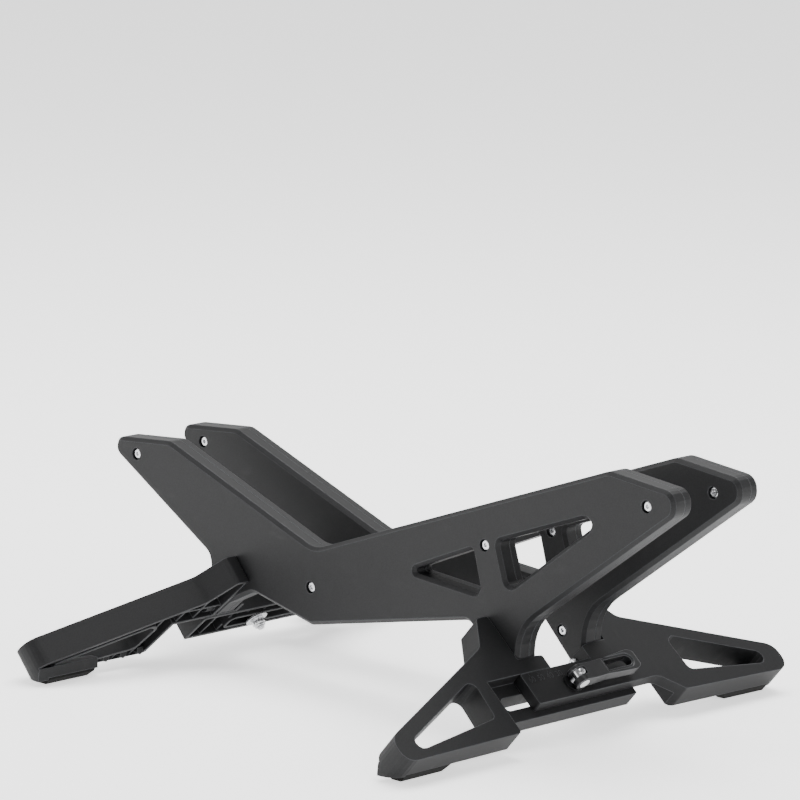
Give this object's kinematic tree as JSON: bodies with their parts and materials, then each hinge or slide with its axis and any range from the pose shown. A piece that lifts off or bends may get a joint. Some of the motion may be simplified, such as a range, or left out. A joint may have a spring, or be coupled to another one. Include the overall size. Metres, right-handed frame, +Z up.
{
  "type": "floor bike rack",
  "caption": "Low floor rack that holds a bicycle wheel upright between V-shaped side plates on splayed feet, with cam levers that lock the gap for the tyre width.",
  "frame": {"origin": "centre of the bounding box in x and y, on the floor under the pads", "axes": "+X along the wheel plane towards the taller arms, +Y across towards the far plate, +Z up"},
  "size_m": [0.6044, 0.435, 0.2217],
  "materials": {
    "plate_plastic": "fine moulded texture",
    "foot_plastic": "fine moulded texture",
    "lever_plastic": "satin moulded",
    "pad_rubber": "matte",
    "bright_steel": "bright zinc plated",
    "bush_plastic": "smooth moulded"
  },
  "bodies": {
    "near_side": {"near_plate_screw_shell": "plate_plastic", "near_plate_bite_shell": "plate_plastic", "near_plate_screw_1": "bright_steel", "near_plate_screw_2": "bright_steel", "near_plate_screw_3": "bright_steel", "near_plate_screw_4": "bright_steel", "near_front_foot": "foot_plastic", "near_front_pad": "pad_rubber", "near_front_leg_screw_lower": "bright_steel", "near_front_leg_screw_upper": "bright_steel", "near_rear_foot": "foot_plastic", "near_rear_pad": "pad_rubber", "near_rear_leg_screw_lower": "bright_steel", "near_rear_leg_screw_upper": "bright_steel", "rear_cam_pin": "bright_steel", "rear_clamp_bolt": "bright_steel", "rear_cam_seat": "bush_plastic", "rear_slot_bush": "bush_plastic", "rear_clamp_washer": "bright_steel", "rear_clamp_nut": "bright_steel"},
    "far_side": {"far_plate_screw_shell": "plate_plastic", "far_plate_bite_shell": "plate_plastic", "far_plate_screw_1": "bright_steel", "far_plate_screw_2": "bright_steel", "far_plate_screw_3": "bright_steel", "far_plate_screw_4": "bright_steel", "far_front_foot": "foot_plastic", "far_front_pad": "pad_rubber", "far_front_leg_screw_lower": "bright_steel", "far_front_leg_screw_upper": "bright_steel", "far_rear_foot": "foot_plastic", "far_rear_pad": "pad_rubber", "far_rear_leg_screw_lower": "bright_steel", "far_rear_leg_screw_upper": "bright_steel", "front_cam_pin": "bright_steel", "front_clamp_bolt": "bright_steel", "front_cam_seat": "bush_plastic", "front_slot_bush": "bush_plastic", "front_clamp_washer": "bright_steel", "front_clamp_nut": "bright_steel"},
    "front_lever": {"front_lever": "lever_plastic"},
    "rear_lever": {"rear_lever": "lever_plastic"}
  },
  "joints": [
    {"name": "width_slide", "type": "slide", "parent": "near_side", "child": "far_side", "axis": [0, 1, 0], "range_m": [-0.03, 0.008]},
    {"name": "front_lever_hinge", "type": "hinge", "parent": "far_side", "child": "front_lever", "pos_m": [0.17847, -0.0112, 0.04859], "axis": [0.7547, 0, -0.6561], "range_deg": [0, 150]},
    {"name": "rear_lever_hinge", "type": "hinge", "parent": "near_side", "child": "rear_lever", "pos_m": [-0.21947, 0.0112, 0.04859], "axis": [-0.7547, 0, -0.6561], "range_deg": [0, 150]}
  ]
}
